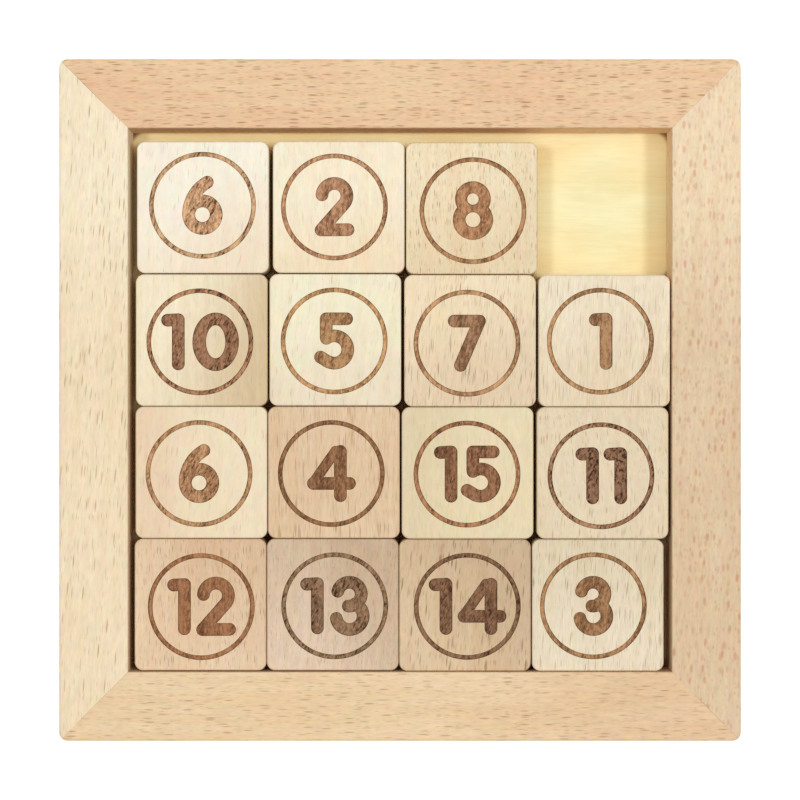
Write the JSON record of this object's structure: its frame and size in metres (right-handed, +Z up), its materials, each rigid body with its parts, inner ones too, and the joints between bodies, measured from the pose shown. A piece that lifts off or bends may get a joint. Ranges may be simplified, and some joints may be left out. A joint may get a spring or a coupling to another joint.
{
  "type": "sliding tile puzzle",
  "caption": "Square wooden tray with mitred rails and a flat floor, holding loose square tiles engraved with ringed numerals that slide into one empty cell.",
  "frame": {"origin": "centre of the square footprint, on the plane of the underside", "axes": "+Z up out of the open tray, +Y towards the top edge as the numerals are read, +X to the right along a row of tiles"},
  "size_m": [0.12, 0.12, 0.015],
  "materials": {
    "beech_rail": "sanded, unvarnished beech with fine dark flecks",
    "beech_tile": "sanded, unvarnished beech, numerals laser burnt dark brown",
    "plywood": "pale light-wood plywood, sanded",
    "steel": "plain spring steel strip"
  },
  "bodies": {
    "tray": {"rail_bottom": "beech_rail", "rail_right": "beech_rail", "rail_top": "beech_rail", "rail_left": "beech_rail", "corner_v_nails": "steel", "base_panel": "plywood"},
    "tile_01": {"tile_01": "beech_tile"},
    "tile_02": {"tile_02": "beech_tile"},
    "tile_03": {"tile_03": "beech_tile"},
    "tile_04": {"tile_04": "beech_tile"},
    "tile_05": {"tile_05": "beech_tile"},
    "tile_06": {"tile_06": "beech_tile"},
    "tile_07": {"tile_07": "beech_tile"},
    "tile_08": {"tile_08": "beech_tile"},
    "tile_09": {"tile_09": "beech_tile"},
    "tile_10": {"tile_10": "beech_tile"},
    "tile_11": {"tile_11": "beech_tile"},
    "tile_12": {"tile_12": "beech_tile"},
    "tile_13": {"tile_13": "beech_tile"},
    "tile_14": {"tile_14": "beech_tile"},
    "tile_15": {"tile_15": "beech_tile"}
  },
  "joints": [
    {"name": "tile_01_slide", "type": "slide", "parent": "tray", "child": "tile_01", "axis": [0, -1, 0], "range_m": [-0.0257, 0]},
    {"name": "tile_02_lift", "type": "slide", "parent": "tray", "child": "tile_02", "axis": [0, 0, 1], "range_m": [0, 0.02]},
    {"name": "tile_03_lift", "type": "slide", "parent": "tray", "child": "tile_03", "axis": [0, 0, 1], "range_m": [0, 0.02]},
    {"name": "tile_04_lift", "type": "slide", "parent": "tray", "child": "tile_04", "axis": [0, 0, 1], "range_m": [0, 0.02]},
    {"name": "tile_05_lift", "type": "slide", "parent": "tray", "child": "tile_05", "axis": [0, 0, 1], "range_m": [0, 0.02]},
    {"name": "tile_06_lift", "type": "slide", "parent": "tray", "child": "tile_06", "axis": [0, 0, 1], "range_m": [0, 0.02]},
    {"name": "tile_07_lift", "type": "slide", "parent": "tray", "child": "tile_07", "axis": [0, 0, 1], "range_m": [0, 0.02]},
    {"name": "tile_08_slide", "type": "slide", "parent": "tray", "child": "tile_08", "axis": [1, 0, 0], "range_m": [0, 0.0235]},
    {"name": "tile_09_lift", "type": "slide", "parent": "tray", "child": "tile_09", "axis": [0, 0, 1], "range_m": [0, 0.02]},
    {"name": "tile_10_lift", "type": "slide", "parent": "tray", "child": "tile_10", "axis": [0, 0, 1], "range_m": [0, 0.02]},
    {"name": "tile_11_lift", "type": "slide", "parent": "tray", "child": "tile_11", "axis": [0, 0, 1], "range_m": [0, 0.02]},
    {"name": "tile_12_lift", "type": "slide", "parent": "tray", "child": "tile_12", "axis": [0, 0, 1], "range_m": [0, 0.02]},
    {"name": "tile_13_lift", "type": "slide", "parent": "tray", "child": "tile_13", "axis": [0, 0, 1], "range_m": [0, 0.02]},
    {"name": "tile_14_lift", "type": "slide", "parent": "tray", "child": "tile_14", "axis": [0, 0, 1], "range_m": [0, 0.02]},
    {"name": "tile_15_lift", "type": "slide", "parent": "tray", "child": "tile_15", "axis": [0, 0, 1], "range_m": [0, 0.02]}
  ]
}
